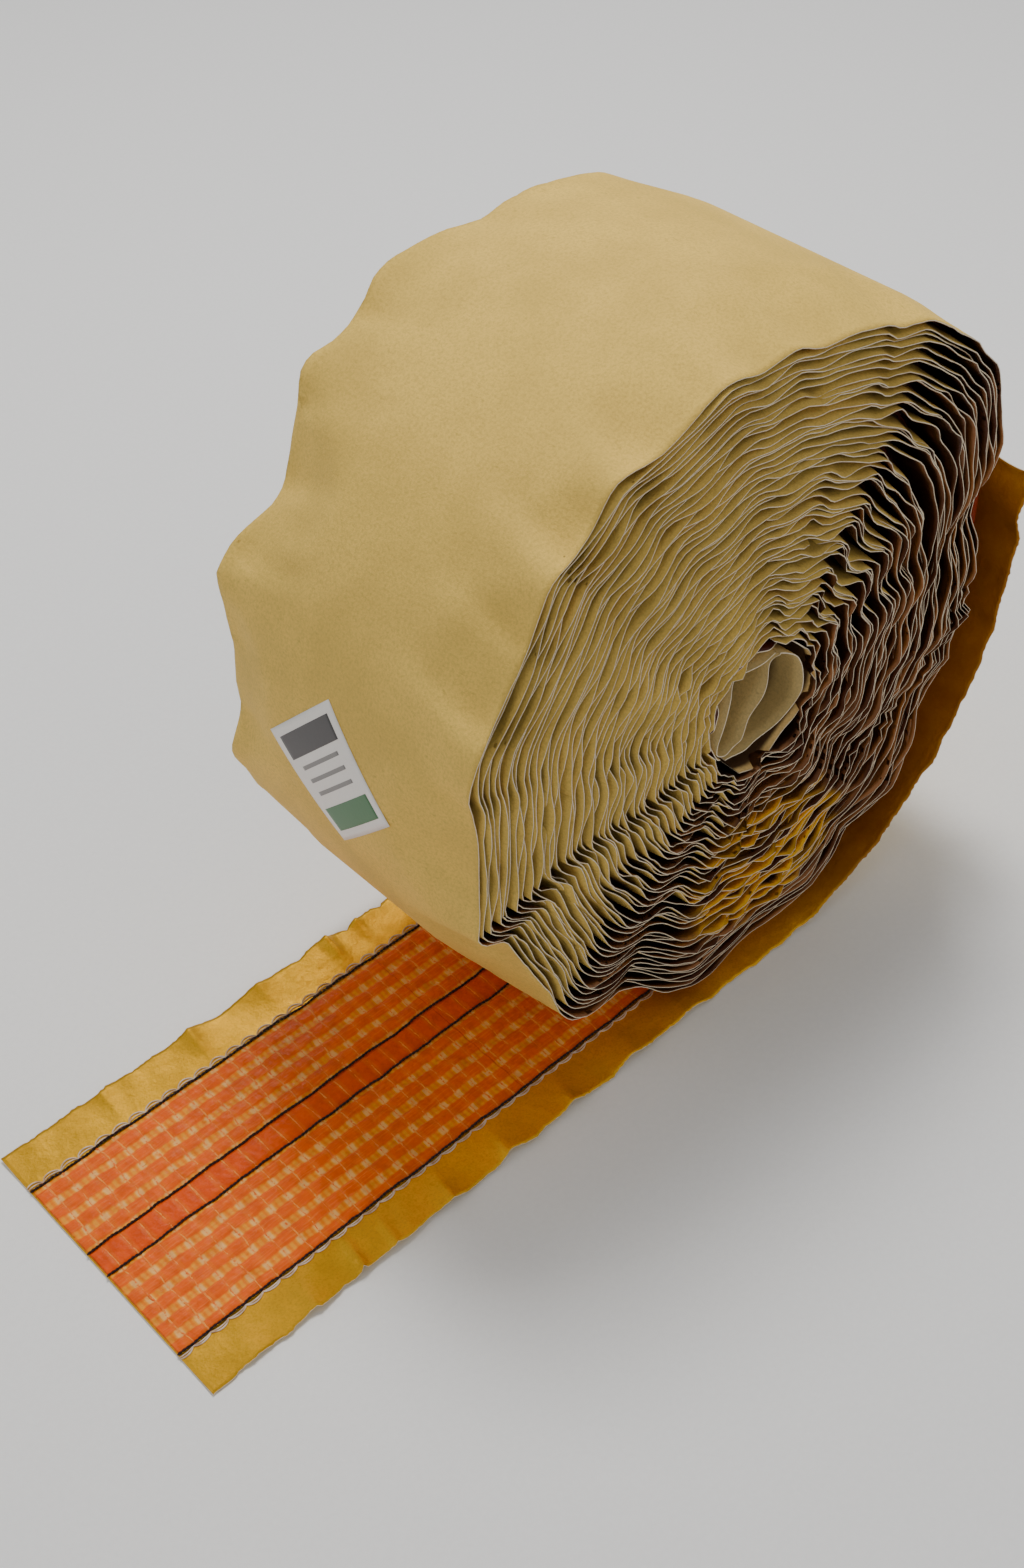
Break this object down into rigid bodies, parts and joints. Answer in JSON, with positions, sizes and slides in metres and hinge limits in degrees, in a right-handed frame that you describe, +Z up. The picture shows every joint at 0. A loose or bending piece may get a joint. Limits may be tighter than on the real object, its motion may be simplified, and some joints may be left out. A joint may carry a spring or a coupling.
{
  "type": "seaming tape roll",
  "caption": "Wide roll of kraft-backed heat-bond seaming tape, its outer wrap loosened and its free end laid flat with the stitched adhesive band upward.",
  "frame": {"origin": "on the floor under the roll's axis, at the roll's mid-width", "axes": "+Z up, +Y along the roll's axis away from the front face, +X away from the free end, which lies out towards -X"},
  "size_m": [0.3196, 0.1134, 0.2205],
  "materials": {
    "kraft_paper": "matt crepe kraft paper with fine fibres and soft creases",
    "gold_coat": "satin gold release coat on the paper's inner face",
    "hot_melt_adhesive": "glossy amber-orange hot-melt, ridged lengthwise",
    "scrim_yarn": "flat cream glass-fibre yarn soaked with adhesive",
    "dark_thread": "twisted near-black sewing thread",
    "looper_thread": "off-white looper thread in scallops",
    "label_paper": "smooth white label paper",
    "label_grey_print": "dark grey print",
    "label_green_print": "green print"
  },
  "bodies": {
    "laid_strip": {"wrap_backing": "kraft_paper", "wrap_facing": "gold_coat", "wrap_adhesive": "hot_melt_adhesive", "wrap_weft_yarns": "scrim_yarn", "wrap_warp_yarns": "scrim_yarn", "wrap_beads": "hot_melt_adhesive", "wrap_far_edge_stitch": "dark_thread", "wrap_near_edge_stitch": "dark_thread", "wrap_far_guide_thread": "dark_thread", "wrap_near_guide_thread": "dark_thread", "wrap_far_looper_thread": "looper_thread", "wrap_near_looper_thread": "looper_thread"},
    "coil": {"coil_backing": "kraft_paper", "coil_facing": "gold_coat", "coil_adhesive": "hot_melt_adhesive", "leader_fold": "kraft_paper", "label_sheet": "label_paper", "label_header": "label_grey_print", "label_lines": "label_grey_print", "label_footer": "label_green_print"},
    "free_end": {"end_backing": "kraft_paper", "end_facing": "gold_coat", "end_adhesive": "hot_melt_adhesive", "end_weft_yarns": "scrim_yarn", "end_warp_yarns": "scrim_yarn", "end_beads": "hot_melt_adhesive", "end_far_edge_stitch": "dark_thread", "end_near_edge_stitch": "dark_thread", "end_far_guide_thread": "dark_thread", "end_near_guide_thread": "dark_thread", "end_far_looper_thread": "looper_thread", "end_near_looper_thread": "looper_thread"}
  },
  "joints": [
    {"name": "roll_turn", "type": "hinge", "parent": "laid_strip", "child": "coil", "pos_m": [0, 0, 0.1114], "axis": [0, 1, 0], "continuous": true},
    {"name": "end_lift", "type": "hinge", "parent": "laid_strip", "child": "free_end", "pos_m": [-0.075, 0, 0.0022], "axis": [0, 1, 0], "range_deg": [0, 55]}
  ]
}
